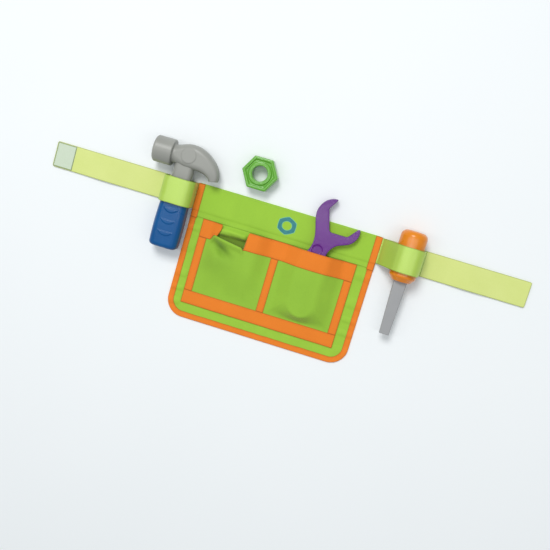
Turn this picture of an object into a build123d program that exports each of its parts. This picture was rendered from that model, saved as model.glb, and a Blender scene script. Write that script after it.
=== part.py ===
from build123d import *
import math
import os

# Toy tool belt laid flat, front face up.
# +X runs along the belt to the wearer's left, +Y is up towards the belt's top edge and +Z comes out of
# the front. The origin is on the back face, on the belt's centre line. All sizes are in millimetres.

os.makedirs("parts", exist_ok=True)

# Clearances
fit_gap = 0.3  # between pieces that move apart
seam_gap = 0.2  # between sewn edges that meet

# Webbing
webbing_width = 38.0
webbing_thickness = 1.4
belt_half_length = 362.0
loop_webbing_thickness = 1.2

# Fabric
band_fabric = 0.9  # one layer of the waistband
panel_thickness = 1.4  # apron panel, two layers
tape_thickness = 0.8  # orange trims
pocket_fabric = 0.9

# Waistband and apron
waistband_width = 276.0
flap_step_gap = 1.6  # from the webbing's lower edge to where the front layer meets the panel
flap_depth = 10.0  # from the webbing's lower edge to the waistband's lower edge
flap_step_run = 0.5  # how far the front layer takes to come down to the panel
front_edge_run = 0.7  # how far the flat front goes past the webbing's lower edge
tunnel_ease = 0.2  # play between the webbing and the tunnel's lower edge
panel_tuck = 0.5  # from the webbing's lower edge to the panel's top edge
apron_flare = 2.5  # how far the apron stands out past the waistband on each side
apron_bottom = -181.0
apron_corner_radius = 27.0
binding_width = 9.0
binding_fabric = 0.5
side_tape_width = 9.5
side_tape_onto_strap = 2.0

# Pocket block
pocket_centre_x = -2.0
pocket_border = 13.5  # bare apron between the binding and the pocket's trim
top_trim_height = 27.0
bottom_trim_height = 21.0
side_trim_width = 13.0
divider_width = 13.0
left_pocket_depth = 9.0  # hollow height above the apron panel
pocket_slope_run = 10.0  # how far the front takes to rise from its seam

# Hammer
hammer_from_waistband = 26.0
head_above_webbing = 32.0
striking_radius = 19.3
striking_length = 28.5
striking_face_bevel = 2.2
striking_back_bevel = 1.0
striking_face_from_axis = 49.0
collar_groove_radius = 13.6
collar_groove_length = 3.0
cheek_thickness = 27.0
cheek_boss_radius = 10.6
cheek_boss_height = 0.7
claw_notch_width = 6.0
claw_notch_depth = 17.0
shaft_width = 29.0
shaft_thickness = 20.0
shaft_corner_radius = 7.5
shaft_in_head = 9.0
grip_width = 43.0
grip_top_width = 39.0
grip_thickness = 32.0
grip_top_y = -8.0
grip_end_y = -85.0
grip_corner_radius = 11.0
grip_wall_at_end = 9.0
grip_pad_width = 21.0
grip_pad_depth = 5.5
grip_pad_height = 0.9
grip_pad_pitch = 17.2
first_grip_pad_y = -26.5

# Screwdriver
driver_from_waistband = 43.0
driver_handle_radius = 19.4
driver_handle_top_y = 42.5
driver_handle_bottom_y = -32.0
driver_dome_length = 9.0
driver_nose_length = 8.5
driver_nose_radius = 15.0
driver_nose_bevel = 1.5
blade_tip_y = -112.0
blade_root_width = 19.5
blade_tip_width = 14.5
blade_root_thickness = 9.0
blade_tip_thickness = 3.0
blade_tang_length = 22.0

# Wrench
wrench_thickness = 12.0
wrench_from_pocket_middle = 0.5
wrench_edge_radius = 1.0
wrench_foot_gap = 3.0  # between the wrench's end and where the pocket's floor rises
wrench_neck_width = 28.4
wrench_recess_radius = 8.0
wrench_recess_y = -24.5
wrench_recess_depth = 1.4

# Hex nut
nut_x = -56.0
nut_y = 57.5
nut_across_flats = 46.5
nut_height = 22.0
nut_hole_radius = 11.4
nut_ring_radius = 16.6
nut_ring_height = 2.6
nut_rim_width = 4.4
nut_rim_height = 2.2

# Loops
loop_side_gap = 0.8
loop_top_gap = 0.6
loop_foot = 5.0
right_loop_lean = 24.0  # how far the right loop's near leg leans before it meets the handle
right_loop_clear = 4.8  # how much of that lean passes over the handle's side
right_loop_corner = 14.0
loop_foot_corner = 1.0

# Strap folds
strap_end_radius = 2.0
fold_gap = 1.1  # half the space between strap pieces at a fold, more than half the webbing
patch_length = 29.0
patch_thickness = 1.2

# Printed motif
motif_x = 1.5
motif_y = -4.0
motif_width = 31.0
motif_hole_share = 0.45
motif_thickness = 0.3

# Levels, worked out from the layers
webbing_z0 = band_fabric
webbing_z1 = webbing_z0 + webbing_thickness
band_front_z = webbing_z1 + band_fabric
flap_z = panel_thickness + band_fabric
half_webbing = webbing_width / 2
half_band = waistband_width / 2
half_apron = half_band + apron_flare
flap_overlap_start = -half_webbing - flap_step_gap
waistband_lower_edge = -half_webbing - flap_depth
panel_top_y = -half_webbing - panel_tuck
pocket_block_width = 2 * (half_apron - binding_width - pocket_border)
pocket_bottom = apron_bottom + binding_width + pocket_border
pocket_left_x = pocket_centre_x - pocket_block_width / 2
pocket_right_x = pocket_centre_x + pocket_block_width / 2
pocket_mouth_y = waistband_lower_edge - seam_gap
flange_z = panel_thickness + pocket_fabric
trim_z = flange_z + tape_thickness
top_trim_low_y = pocket_mouth_y - top_trim_height

hammer_x = -half_band - hammer_from_waistband
head_y = half_webbing + head_above_webbing
hammer_z = max(striking_radius, webbing_z1 + fit_gap + grip_thickness / 2)
grip_top_z = hammer_z + grip_thickness / 2
driver_x = half_band + driver_from_waistband
driver_z = webbing_z1 + fit_gap + driver_handle_radius
right_pocket_middle = (pocket_centre_x + divider_width / 2 + pocket_right_x - side_trim_width) / 2
wrench_x = right_pocket_middle + wrench_from_pocket_middle
wrench_z0 = band_front_z + fit_gap
wrench_z1 = wrench_z0 + wrench_thickness
right_pocket_depth = wrench_z1 + fit_gap - panel_thickness
wrench_end_y = pocket_bottom + bottom_trim_height + pocket_slope_run + wrench_foot_gap

left_loop_outer_x = hammer_x - grip_width / 2 - loop_side_gap - loop_foot - loop_webbing_thickness
right_loop_outer_x = driver_x + driver_handle_radius + loop_side_gap + loop_foot + loop_webbing_thickness
left_fold_x = left_loop_outer_x - fold_gap
right_fold_x = right_loop_outer_x + fold_gap
left_wrap_x = (left_fold_x - belt_half_length) / 2
right_wrap_x = (right_fold_x + belt_half_length) / 2


def save(piece, label):
    piece.label = label
    export_step(piece, f"parts/{label}.step")


# Apron panel: two layers of fabric, pressed thin where the binding grips its edge
with BuildPart() as apron_panel:
    with BuildSketch(Plane.XY) as panel_face:
        with BuildLine():
            inner_x = half_apron - binding_width
            inner_bottom = apron_bottom + binding_width
            FilletPolyline(
                (-inner_x, panel_top_y),
                (-inner_x, inner_bottom),
                (inner_x, inner_bottom),
                (inner_x, panel_top_y),
                radius=apron_corner_radius - binding_width,
            )
            Line((inner_x, panel_top_y), (-inner_x, panel_top_y))
        make_face()
    extrude(amount=panel_thickness)
    with BuildSketch(Plane.XY.offset(binding_fabric)) as panel_edge:
        with BuildLine():
            edge_x = half_apron - binding_fabric
            edge_bottom = apron_bottom + binding_fabric
            FilletPolyline(
                (-edge_x, panel_top_y),
                (-edge_x, edge_bottom),
                (edge_x, edge_bottom),
                (edge_x, panel_top_y),
                radius=apron_corner_radius - binding_fabric,
            )
            Line((edge_x, panel_top_y), (-edge_x, panel_top_y))
        make_face()
    extrude(amount=panel_thickness - 2 * binding_fabric)
save(apron_panel.part, "apron_panel")

# Apron binding: tape folded over the panel's sides and bottom
with BuildPart() as apron_binding:
    with BuildSketch(Plane.XY) as binding_face:
        with BuildLine():
            FilletPolyline(
                (-half_apron, waistband_lower_edge),
                (-half_apron, apron_bottom),
                (half_apron, apron_bottom),
                (half_apron, waistband_lower_edge),
                radius=apron_corner_radius,
            )
            Line((half_apron, waistband_lower_edge), (inner_x, waistband_lower_edge))
            FilletPolyline(
                (inner_x, waistband_lower_edge),
                (inner_x, inner_bottom),
                (-inner_x, inner_bottom),
                (-inner_x, waistband_lower_edge),
                radius=apron_corner_radius - binding_width,
            )
            Line((-inner_x, waistband_lower_edge), (-half_apron, waistband_lower_edge))
        make_face()
    extrude(amount=panel_thickness + binding_fabric)
    add(apron_panel.part, mode=Mode.SUBTRACT)
save(apron_binding.part, "apron_binding")

# Waistband: one strip folded over the top, a tunnel for the webbing, its front edge on the panel
with BuildPart() as waistband:
    with BuildSketch(Plane.YZ.offset(-half_band)) as band_section:
        with BuildLine():
            Polyline(
                (waistband_lower_edge, panel_thickness),
                (flap_overlap_start, panel_thickness),
                (-half_webbing - tunnel_ease, webbing_z1),
                (half_webbing + seam_gap, webbing_z1),
                (half_webbing + seam_gap, webbing_z0),
                (-half_webbing, webbing_z0),
                (-half_webbing, 0),
                (half_webbing + seam_gap, 0),
                (half_webbing + seam_gap + band_fabric, band_fabric / 2),
                (half_webbing + seam_gap + band_fabric, band_front_z - band_fabric / 2),
                (half_webbing + seam_gap, band_front_z),
                (-half_webbing - front_edge_run, band_front_z),
                (flap_overlap_start - flap_step_run, flap_z),
                (waistband_lower_edge, flap_z),
                (waistband_lower_edge, panel_thickness),
            )
        make_face()
    extrude(amount=waistband_width)
save(waistband.part, "waistband")

# Centre webbing: runs through the tunnel and out under both tool loops
with BuildPart() as centre_webbing:
    with BuildSketch(Plane.XY.offset(webbing_z0)) as centre_face:
        with BuildLine():
            Polyline(
                (left_loop_outer_x, -half_webbing),
                (right_loop_outer_x, -half_webbing),
                (right_loop_outer_x, half_webbing),
                (left_loop_outer_x, half_webbing),
                close=True,
            )
        make_face()
    extrude(amount=webbing_thickness)
save(centre_webbing.part, "centre_webbing")

# Side tapes: sewn over the ends of the waistband and the feet of the loops
foot_top_z = webbing_z1 + loop_webbing_thickness
for label, side in (("left_waistband_tape", -1), ("right_waistband_tape", 1)):
    on_band = side_tape_width - side_tape_onto_strap
    with BuildPart() as side_tape:
        with BuildSketch(Plane.YZ.offset(side * half_band)) as tape_section:
            with BuildLine():
                Polyline(
                    (half_webbing, band_front_z),
                    (-half_webbing - front_edge_run, band_front_z),
                    (flap_overlap_start - flap_step_run, flap_z),
                    (waistband_lower_edge, flap_z),
                )
                offset(amount=tape_thickness, side=Side.RIGHT)
            make_face()
        extrude(amount=-side * on_band)
        with BuildSketch(Plane.YZ.offset(side * half_band)) as tape_over_foot:
            with Locations((0, foot_top_z)):
                Rectangle(webbing_width, tape_thickness, align=(Align.CENTER, Align.MIN))
        extrude(amount=side * side_tape_onto_strap)
        add(waistband.part, mode=Mode.SUBTRACT)
    save(side_tape.part, label)


# Pocket fronts: each stands off the panel in the middle and is sewn down at its sides and bottom
def pocket_front(inner_left, inner_right, outer_left, outer_right, depth):
    inner_floor = pocket_bottom + bottom_trim_height
    width = inner_right - inner_left
    slope_angle = math.degrees(math.atan2(pocket_slope_run, depth))
    mouth_excess = pocket_slope_run + pocket_fabric
    tall = pocket_mouth_y + mouth_excess - inner_floor
    middle = ((inner_left + inner_right) / 2, inner_floor + tall / 2)
    with BuildPart() as front:
        with BuildSketch(Plane.XY.offset(panel_thickness)) as flange:
            with Locations((outer_left, pocket_bottom)):
                flange_height = pocket_mouth_y - pocket_bottom
                Rectangle(outer_right - outer_left, flange_height, align=(Align.MIN, Align.MIN))
        extrude(amount=pocket_fabric)
        with BuildSketch(Plane.XY.offset(panel_thickness)) as hump:
            with Locations(middle):
                Rectangle(width, tall)
        extrude(amount=depth + pocket_fabric, taper=slope_angle * depth / (depth + pocket_fabric))
        with BuildSketch(Plane.XY.offset(panel_thickness)) as hollow:
            with Locations(middle):
                Rectangle(width - 2 * pocket_fabric, tall - 2 * pocket_fabric)
        extrude(amount=depth, taper=slope_angle, mode=Mode.SUBTRACT)
        with BuildSketch(Plane.XY.offset(panel_thickness)) as above_mouth:
            with Locations((middle[0], pocket_mouth_y)):
                Rectangle(2 * width, 2 * mouth_excess + 10, align=(Align.CENTER, Align.MIN))
        extrude(amount=2 * depth, mode=Mode.SUBTRACT)
    return front.part


left_inner = (pocket_left_x + side_trim_width, pocket_centre_x - divider_width / 2)
right_inner = (pocket_centre_x + divider_width / 2, pocket_right_x - side_trim_width)
left_pocket_front = pocket_front(*left_inner, pocket_left_x, pocket_centre_x, left_pocket_depth)
right_pocket_front = pocket_front(*right_inner, pocket_centre_x, pocket_right_x, right_pocket_depth)
save(left_pocket_front, "left_pocket_front")
save(right_pocket_front, "right_pocket_front")

# Pocket top trim: one band that follows both pocket mouths
left_hump_z = panel_thickness + left_pocket_depth + pocket_fabric
right_hump_z = panel_thickness + right_pocket_depth + pocket_fabric
with BuildPart() as pocket_top_trim:
    with BuildSketch(Plane.XZ.offset(-pocket_mouth_y)) as band:
        with BuildLine():
            Polyline(
                (pocket_left_x, flange_z),
                (left_inner[0] - pocket_fabric, flange_z),
                (left_inner[0] + pocket_slope_run - pocket_fabric, left_hump_z),
                (left_inner[1] - pocket_slope_run + pocket_fabric, left_hump_z),
                (left_inner[1] + pocket_fabric, flange_z),
                (right_inner[0] - pocket_fabric, flange_z),
                (right_inner[0] + pocket_slope_run - pocket_fabric, right_hump_z),
                (right_inner[1] - pocket_slope_run + pocket_fabric, right_hump_z),
                (right_inner[1] + pocket_fabric, flange_z),
                (pocket_right_x, flange_z),
            )
            offset(amount=tape_thickness, side=Side.LEFT)
        make_face()
    extrude(amount=top_trim_height)
    add(left_pocket_front, mode=Mode.SUBTRACT)
    add(right_pocket_front, mode=Mode.SUBTRACT)
save(pocket_top_trim.part, "pocket_top_trim")

# Flat pocket trims: tapes sewn through the pocket's edges
flat_trims = (
    ("pocket_left_trim", pocket_left_x, left_inner[0] - pocket_fabric),
    ("pocket_divider_trim", left_inner[1] + pocket_fabric, right_inner[0] - pocket_fabric),
    ("pocket_right_trim", right_inner[1] + pocket_fabric, pocket_right_x),
)
side_trim_low_y = pocket_bottom + bottom_trim_height - pocket_fabric
for label, x0, x1 in flat_trims:
    with BuildPart() as flat_trim:
        with BuildSketch(Plane.XY.offset(flange_z)) as trim_face:
            with Locations((x0, side_trim_low_y)):
                Rectangle(x1 - x0, top_trim_low_y - side_trim_low_y, align=(Align.MIN, Align.MIN))
        extrude(amount=tape_thickness)
    save(flat_trim.part, label)
with BuildPart() as pocket_bottom_trim:
    with BuildSketch(Plane.XY.offset(flange_z)) as bottom_face:
        with Locations((pocket_left_x, pocket_bottom)):
            Rectangle(pocket_block_width, side_trim_low_y - pocket_bottom, align=(Align.MIN, Align.MIN))
    extrude(amount=tape_thickness)
save(pocket_bottom_trim.part, "pocket_bottom_trim")

# Printed motif: a plain hexagonal nut outline in ink on the waistband
with BuildPart() as waistband_motif:
    with BuildSketch(Plane.XY.offset(band_front_z)) as print_face:
        with Locations((motif_x, motif_y)):
            RegularPolygon(motif_width / 2, 6)
            Circle(motif_width * motif_hole_share / 2, mode=Mode.SUBTRACT)
    extrude(amount=motif_thickness)
save(waistband_motif.part, "waistband_motif")

# Tool loops: webbing arched over each tool and sewn down at both feet
left_crest_z = grip_top_z + grip_pad_height + loop_top_gap
left_leg_x = hammer_x - grip_width / 2 - loop_side_gap
right_leg_x = hammer_x + grip_width / 2 + loop_side_gap
with BuildPart() as left_tool_loop:
    with BuildSketch(Plane.XZ.offset(-half_webbing)) as left_arch:
        with BuildLine():
            FilletPolyline(
                (left_loop_outer_x, webbing_z1),
                (left_leg_x - loop_webbing_thickness, webbing_z1),
                (left_leg_x, left_crest_z),
                (right_leg_x, left_crest_z),
                (right_leg_x, webbing_z1),
                (-half_band, webbing_z1),
                radius=[loop_foot_corner, grip_corner_radius, grip_corner_radius, loop_foot_corner],
            )
            offset(amount=loop_webbing_thickness, side=Side.LEFT)
        make_face()
    extrude(amount=webbing_width)
save(left_tool_loop.part, "left_tool_loop")

right_crest_z = driver_z + driver_handle_radius + loop_top_gap
driver_leg_x = driver_x + driver_handle_radius + loop_side_gap
lean_foot_x = driver_x - driver_handle_radius - loop_side_gap - right_loop_lean + right_loop_clear
with BuildPart() as right_tool_loop:
    with BuildSketch(Plane.XZ.offset(-half_webbing)) as right_arch:
        with BuildLine():
            FilletPolyline(
                (half_band, webbing_z1),
                (lean_foot_x, webbing_z1),
                (lean_foot_x + right_loop_lean, right_crest_z),
                (driver_leg_x, right_crest_z),
                (driver_leg_x + loop_webbing_thickness, webbing_z1),
                (right_loop_outer_x, webbing_z1),
                radius=[loop_foot_corner, right_loop_corner, right_loop_corner, loop_foot_corner],
            )
            offset(amount=loop_webbing_thickness, side=Side.LEFT)
        make_face()
    extrude(amount=webbing_width)
save(right_tool_loop.part, "right_tool_loop")


# Straps: free webbing beyond each loop, in two lengths that fold where the webbing bends
def strap_length(x0, x1, round_low_end, round_high_end):
    with BuildPart() as length:
        with BuildSketch(Plane.XY.offset(webbing_z0)) as strap_face:
            with Locations(((x0 + x1) / 2, 0)):
                Rectangle(x1 - x0, webbing_width)
            if round_low_end:
                fillet(strap_face.vertices().group_by(Axis.X)[0], radius=strap_end_radius)
            if round_high_end:
                fillet(strap_face.vertices().group_by(Axis.X)[-1], radius=strap_end_radius)
        extrude(amount=webbing_thickness)
    return length.part


left_end_x = -belt_half_length
right_end_x = belt_half_length
save(strap_length(left_wrap_x + fold_gap, left_fold_x - fold_gap, False, False), "left_strap_inner")
save(strap_length(left_end_x, left_wrap_x - fold_gap, True, False), "left_strap_outer")
save(strap_length(right_fold_x + fold_gap, right_wrap_x - fold_gap, False, False), "right_strap_inner")
save(strap_length(right_wrap_x + fold_gap, right_end_x, False, True), "right_strap_outer")

# Fastener patches: hook tape on the front of the left end, loop tape behind the right end
patch_specs = (
    ("hook_patch", left_end_x + 1, webbing_z1, patch_thickness),
    ("loop_patch", right_end_x - 1 - patch_length, 0, webbing_z0),
)
for label, x0, z0, thickness in patch_specs:
    with BuildPart() as patch:
        with BuildSketch(Plane.XY.offset(z0)) as patch_face:
            with Locations((x0, 0)):
                Rectangle(patch_length, webbing_width - 2, align=(Align.MIN, Align.CENTER))
        extrude(amount=thickness)
    save(patch.part, label)

# Hammer shaft: one straight rounded bar, seated in the head and in the grip
shaft_top_y = head_y - cheek_thickness / 2 - 3.0 + shaft_in_head
shaft_end_y = grip_end_y + grip_wall_at_end
with BuildPart() as hammer_shaft:
    with BuildSketch(Plane.XZ.offset(-shaft_top_y)) as shaft_section:
        with Locations((hammer_x, hammer_z)):
            RectangleRounded(shaft_width, shaft_thickness, shaft_corner_radius)
    extrude(amount=shaft_top_y - shaft_end_y)
save(hammer_shaft.part, "hammer_shaft")

# Hammer head: a turned striking end, a rounded cheek, and a claw that curves down to a blunt tip
striking_face_x = hammer_x - striking_face_from_axis
claw_tip_x = hammer_x + 52.0
striking_end_x = striking_face_x + striking_length
neck_end_x = striking_end_x + collar_groove_length
head_sections = (  # centre x, height above the head's axis, downward turn, width, thickness, corner radius
    (neck_end_x, 0.0, 0, 2 * collar_groove_radius - 0.6, 2 * collar_groove_radius - 0.6, 12.0),
    (hammer_x - 8.0, 0.6, 0, 31.0, cheek_thickness, 10.0),
    (hammer_x + 4.0, 1.5, 4, 35.5, cheek_thickness, 9.0),
    (hammer_x + 19.0, 0.0, 14, 33.0, cheek_thickness - 0.5, 9.0),
    (hammer_x + 33.0, -6.0, 36, 26.0, cheek_thickness - 2, 8.0),
    (hammer_x + 42.5, -15.0, 62, 19.0, cheek_thickness - 5, 6.5),
    (hammer_x + 45.8, -24.5, 80, 12.0, cheek_thickness - 9, 5.0),
)
with BuildPart() as hammer_head:
    for x, rise, turn, width, thickness, radius in head_sections:
        lean = math.radians(turn)
        across = (math.sin(lean), math.cos(lean), 0)
        along = (math.cos(lean), -math.sin(lean), 0)
        with BuildSketch(Plane(origin=(x, head_y + rise, hammer_z), x_dir=across, z_dir=along)):
            RectangleRounded(width, thickness, radius)
    loft()
    boss_x = hammer_x + 4.0
    boss_y = head_y + 2.0
    boss_z = cheek_thickness / 2 + cheek_boss_height
    with BuildSketch(Plane.XY.offset(hammer_z - boss_z)) as boss_face:
        with Locations((boss_x, boss_y)):
            Circle(cheek_boss_radius)
    extrude(amount=2 * boss_z)
    with BuildSketch(Plane.XY.offset(hammer_z)) as striking_profile:
        with BuildLine():
            Polyline(
                (striking_face_x, head_y),
                (striking_face_x, head_y + striking_radius - striking_face_bevel),
                (striking_face_x + striking_face_bevel, head_y + striking_radius),
                (striking_end_x - striking_back_bevel, head_y + striking_radius),
                (striking_end_x, head_y + striking_radius - striking_back_bevel),
                (striking_end_x, head_y + collar_groove_radius),
                (neck_end_x, head_y + collar_groove_radius),
                (neck_end_x, head_y),
                close=True,
            )
        make_face()
    revolve(axis=Axis((0, head_y, hammer_z), (1, 0, 0)))
    with BuildSketch(Plane.XZ.offset(-head_y)) as claw_notch:
        with BuildLine():
            Polyline(
                (claw_tip_x - claw_notch_depth, hammer_z),
                (claw_tip_x + 10, hammer_z + claw_notch_width / 2),
                (claw_tip_x + 10, hammer_z - claw_notch_width / 2),
                close=True,
            )
        make_face()
    extrude(amount=40, both=True, mode=Mode.SUBTRACT)
    add(hammer_shaft.part, mode=Mode.SUBTRACT)
save(hammer_head.part, "hammer_head")

# Hammer grip: a soft sleeve over the shaft with three half-moon thumb pads
grip_sections = (
    (grip_top_y, grip_top_width, grip_thickness - 1.0),
    ((grip_top_y + grip_end_y) / 2, grip_width, grip_thickness),
    (grip_end_y, grip_width - 1.5, grip_thickness - 0.5),
)
with BuildPart() as hammer_grip:
    for y, width, thickness in grip_sections:
        with BuildSketch(Plane.XZ.offset(-y)):
            with Locations((hammer_x, hammer_z)):
                RectangleRounded(width, thickness, grip_corner_radius)
    loft()
    fillet(hammer_grip.edges().group_by(Axis.Y)[0], radius=6.0)
    fillet(hammer_grip.edges().group_by(Axis.Y)[-1], radius=2.5)
    for row in range(3):
        pad_y = first_grip_pad_y - row * grip_pad_pitch
        with BuildSketch(Plane.XY.offset(grip_top_z - 1.2)) as pad_face:
            with BuildLine():
                Line((hammer_x - grip_pad_width / 2, pad_y), (hammer_x + grip_pad_width / 2, pad_y))
                ThreePointArc(
                    (hammer_x + grip_pad_width / 2, pad_y),
                    (hammer_x, pad_y - grip_pad_depth),
                    (hammer_x - grip_pad_width / 2, pad_y),
                )
            make_face()
        extrude(amount=1.2 + grip_pad_height)
    add(hammer_shaft.part, mode=Mode.SUBTRACT)
save(hammer_grip.part, "hammer_grip")

# Screwdriver blade: a flat tapered bar with a tang that seats in the handle
with BuildPart() as screwdriver_blade:
    with BuildSketch(Plane.XZ.offset(-driver_handle_bottom_y)) as blade_root:
        with Locations((driver_x, driver_z)):
            RectangleRounded(blade_root_width, blade_root_thickness, 2.0)
    with BuildSketch(Plane.XZ.offset(-blade_tip_y)) as blade_tip:
        with Locations((driver_x, driver_z)):
            RectangleRounded(blade_tip_width, blade_tip_thickness, 1.0)
    loft()
    with BuildSketch(Plane.XZ.offset(-driver_handle_bottom_y)) as tang:
        with Locations((driver_x, driver_z)):
            RectangleRounded(blade_root_width - 3.0, blade_root_thickness - 2.0, 2.0)
    extrude(amount=-blade_tang_length)
save(screwdriver_blade.part, "screwdriver_blade")

# Screwdriver handle: a turned handle with a domed top and a nose below the grip
with BuildPart() as screwdriver_handle:
    with BuildSketch(Plane.XY.offset(driver_z)) as handle_profile:
        with BuildLine():
            dome_y = driver_handle_top_y - driver_dome_length
            nose_y = driver_handle_bottom_y + driver_nose_length
            side_x = driver_x + driver_handle_radius
            nose_x = driver_x + driver_nose_radius - driver_nose_bevel
            crown_x = driver_x + driver_handle_radius * 0.5
            crown_y = driver_handle_top_y - 0.6
            Line((driver_x, driver_handle_bottom_y), (nose_x, driver_handle_bottom_y))
            Line((nose_x, driver_handle_bottom_y), (side_x, nose_y - driver_nose_bevel))
            Line((side_x, nose_y - driver_nose_bevel), (side_x, dome_y))
            ThreePointArc(
                (side_x, dome_y),
                (driver_x + driver_handle_radius * 0.86, dome_y + driver_dome_length * 0.66),
                (crown_x, crown_y),
            )
            Line((crown_x, crown_y), (driver_x, driver_handle_top_y))
            Line((driver_x, driver_handle_top_y), (driver_x, driver_handle_bottom_y))
        make_face()
    revolve(axis=Axis((driver_x, 0, driver_z), (0, 1, 0)))
    add(screwdriver_blade.part, mode=Mode.SUBTRACT)
save(screwdriver_handle.part, "screwdriver_handle")

# Wrench: one moulding with a long and a short jaw, its handle down in the right pocket
half_neck = wrench_neck_width / 2
neck_left = wrench_x - half_neck
neck_right = wrench_x + half_neck
with BuildPart() as wrench:
    with BuildSketch(Plane.XY.offset(wrench_z0)) as wrench_outline:
        with BuildLine():
            long_jaw_back = Spline(
                (neck_left, -30.0),
                (neck_left + 5.2, -13.0),
                (neck_left + 1.6, 8.7),
                (neck_left - 2.2, 30.0),
                (neck_left + 4.8, 45.8),
                (neck_left + 21.0, 53.6),
            )
            long_tip = (neck_left + 22.6, 51.4)
            short_tip = (neck_left + 62.2, 19.6)
            short_tip_back = (neck_left + 66.2, 17.6)
            ThreePointArc(long_jaw_back @ 1, (neck_left + 22.8, 53.0), long_tip)
            FilletPolyline(
                long_tip,
                (neck_left + 13.8, 37.7),
                (neck_left + 23.8, 5.4),
                (neck_left + 50.5, 5.4),
                short_tip,
                radius=[2.0, 5.0, 6.0],
            )
            ThreePointArc(short_tip, (neck_left + 64.8, 20.6), short_tip_back)
            short_jaw_back = Spline(
                short_tip_back,
                (neck_left + 64.0, 5.0),
                (neck_left + 56.5, -3.5),
                (neck_left + 40.3, -10.6),
                (neck_left + 31.3, -20.3),
                (neck_right, -31.0),
            )
            Line(short_jaw_back @ 1, (neck_right, wrench_end_y + half_neck))
            ThreePointArc(
                (neck_right, wrench_end_y + half_neck),
                (wrench_x, wrench_end_y),
                (neck_left, wrench_end_y + half_neck),
            )
            Line((neck_left, wrench_end_y + half_neck), (neck_left, -30.0))
        make_face()
    extrude(amount=wrench_thickness)
    flat_edges = wrench.edges().group_by(Axis.Z)[0] + wrench.edges().group_by(Axis.Z)[-1]
    fillet(flat_edges, radius=wrench_edge_radius)
    with BuildSketch(Plane.XY.offset(wrench_z1)) as recess_face:
        with Locations((wrench_x, wrench_recess_y)):
            Circle(wrench_recess_radius)
    extrude(amount=-wrench_recess_depth, mode=Mode.SUBTRACT)
save(wrench.part, "wrench")

# Hex nut: a raised hexagonal rim round a collar and a plain hole
with BuildPart() as hex_nut:
    with BuildSketch(Plane.XY) as nut_outline:
        with Locations((nut_x, nut_y)):
            RegularPolygon(nut_across_flats / 2, 6, major_radius=False)
    extrude(amount=nut_height)
    fillet(hex_nut.edges().group_by(Axis.Z)[0] + hex_nut.edges().group_by(Axis.Z)[-1], radius=1.6)
    with BuildSketch(Plane.XY.offset(nut_height)) as rim_recess:
        with Locations((nut_x, nut_y)):
            RegularPolygon(nut_across_flats / 2 - nut_rim_width, 6, major_radius=False)
            Circle(nut_ring_radius, mode=Mode.SUBTRACT)
    extrude(amount=-nut_rim_height, mode=Mode.SUBTRACT)
    with Locations((nut_x, nut_y, nut_height)):
        Hole(nut_hole_radius)
save(hex_nut.part, "hex_nut")
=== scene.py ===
import math

import bpy
from mathutils import Matrix, Vector, noise


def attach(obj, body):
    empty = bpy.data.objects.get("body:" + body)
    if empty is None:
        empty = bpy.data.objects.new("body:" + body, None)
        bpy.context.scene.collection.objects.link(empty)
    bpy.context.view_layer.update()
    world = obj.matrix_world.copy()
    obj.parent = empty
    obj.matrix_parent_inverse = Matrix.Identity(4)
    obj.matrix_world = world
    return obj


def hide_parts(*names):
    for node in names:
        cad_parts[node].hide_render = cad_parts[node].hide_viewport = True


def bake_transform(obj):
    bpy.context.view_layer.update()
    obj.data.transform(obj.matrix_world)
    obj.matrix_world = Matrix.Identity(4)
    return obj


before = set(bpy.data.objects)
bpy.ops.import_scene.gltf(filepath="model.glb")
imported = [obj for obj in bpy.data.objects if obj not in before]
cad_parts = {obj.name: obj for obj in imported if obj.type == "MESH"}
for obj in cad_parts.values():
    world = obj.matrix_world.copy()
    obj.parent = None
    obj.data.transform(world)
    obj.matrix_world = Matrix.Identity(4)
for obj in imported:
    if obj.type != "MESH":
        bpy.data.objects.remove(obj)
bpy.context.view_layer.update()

# Table top, daylight and camera
# A plain off-white table in a bright, even room. One large soft lamp hangs beyond the belt's top edge, left
# of its middle. Two narrow ones glance off the tool loops. The camera looks down from nearly straight above.
bpy.context.scene.view_settings.view_transform = "Standard"
room = bpy.data.worlds.new("bright_room")
room.use_nodes = True
room.node_tree.nodes["Background"].inputs["Color"].default_value = (0.93, 0.97, 1.0, 1)
room.node_tree.nodes["Background"].inputs["Strength"].default_value = 0.44
bpy.context.scene.world = room


def new_finish(name, roughness, specular=0.5):
    finish = bpy.data.materials.new(name)
    finish.use_nodes = True
    shader = finish.node_tree.nodes["Principled BSDF"]
    shader.inputs["Roughness"].default_value = roughness
    shader.inputs["Specular IOR Level"].default_value = specular
    return finish, finish.node_tree.nodes, finish.node_tree.links, shader


def straight(red, green, blue):
    """A colour as it is read off a screen, in the straight light values that a shader takes."""
    channels = [channel / 255 for channel in (red, green, blue)]
    return (*[c / 12.92 if c < 0.04 else ((c + 0.055) / 1.055) ** 2.4 for c in channels], 1)


def two_tones(name, roughness, specular, pattern, scale, dark, pale):
    """A finish that changes between two tones along a pattern fixed to the piece."""
    finish, nodes, links, shader = new_finish(name, roughness, specular)
    place = nodes.new("ShaderNodeTexCoord")
    texture = nodes.new(pattern)
    texture.inputs["Scale"].default_value = scale
    tone = nodes.new("ShaderNodeMix")
    tone.data_type = "RGBA"
    tone.inputs["A"].default_value = straight(*dark)
    tone.inputs["B"].default_value = straight(*pale)
    links.new(place.outputs["Object"], texture.inputs["Vector"])
    links.new(texture.outputs["Fac"], tone.inputs["Factor"])
    links.new(tone.outputs["Result"], shader.inputs["Base Color"])
    return finish


bpy.ops.object.select_all(action="DESELECT")
bpy.ops.mesh.primitive_plane_add(size=14, location=(0, 0, -0.0004))
table_top = bpy.context.object
table_top.name = "table_top"
table_top.data.materials.append(
    two_tones("table_paint", 0.6, 0.3, "ShaderNodeTexNoise", 3.0, (240, 244, 245), (244, 247, 248))
)

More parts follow.
